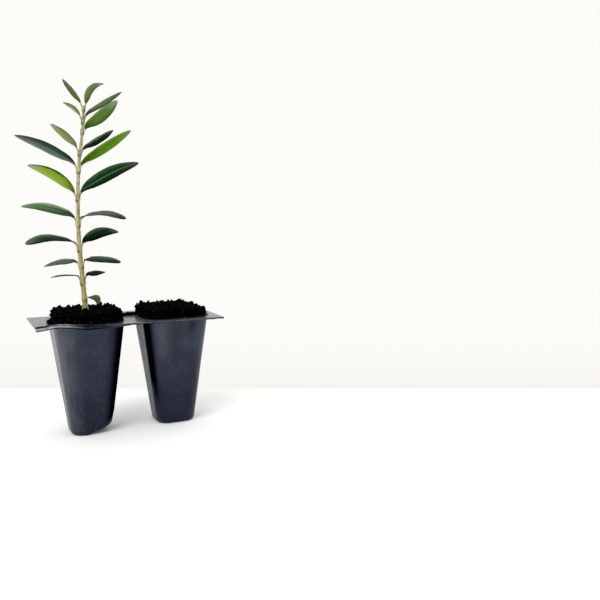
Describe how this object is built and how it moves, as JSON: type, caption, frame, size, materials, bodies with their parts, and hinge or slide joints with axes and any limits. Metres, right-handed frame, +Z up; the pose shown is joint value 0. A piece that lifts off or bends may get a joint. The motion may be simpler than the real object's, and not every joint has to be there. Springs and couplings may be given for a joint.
{
  "type": "potted olive tree seedling",
  "caption": "Young olive plant with narrow green leaves in opposite pairs on a thin pale stem, rooted in dark compost in a tapered black plastic tray cell beside a matching filled cell.",
  "frame": {"origin": "middle of the planted cell's flat underside, on the surface that the tray stands on", "axes": "+Z up along the stem; +X from the planted cell to the second cell; -Y towards the tray's cut front edge"},
  "size_m": [0.1399, 0.0946, 0.262],
  "materials": {
    "tray": "satin black vacuum-formed sheet",
    "compost": "damp, crumbly, near black",
    "stem": "smooth pale young bark",
    "leaf_dark": "leathery, slightly glossy, dark grey-green",
    "leaf_bright": "smooth, bright green",
    "leaf_pale": "matt, pale sage green",
    "leaf_lime": "smooth, yellow-green"
  },
  "bodies": {
    "root": {"tray": "tray", "compost_planted": "compost", "compost_spare": "compost", "compost_spill": "compost", "trunk": "stem", "leaf_01_left": "leaf_dark", "leaf_01_right": "leaf_bright", "leaf_02_left": "leaf_pale", "leaf_02_right": "leaf_dark", "leaf_03_right": "leaf_bright", "leaf_04_left": "leaf_pale", "leaf_04_right": "leaf_dark", "leaf_05_left": "leaf_dark", "leaf_05_right": "leaf_bright", "leaf_06_left": "leaf_lime", "leaf_06_right": "leaf_dark", "leaf_07_left": "leaf_dark", "leaf_07_right": "leaf_dark", "leaf_08_left": "leaf_dark", "leaf_08_right": "leaf_dark", "leaf_09_left": "leaf_dark", "leaf_09_right": "leaf_dark", "leaf_10_left": "leaf_dark", "leaf_10_right": "leaf_dark", "leaf_11_right": "leaf_dark"}
  },
  "joints": []
}
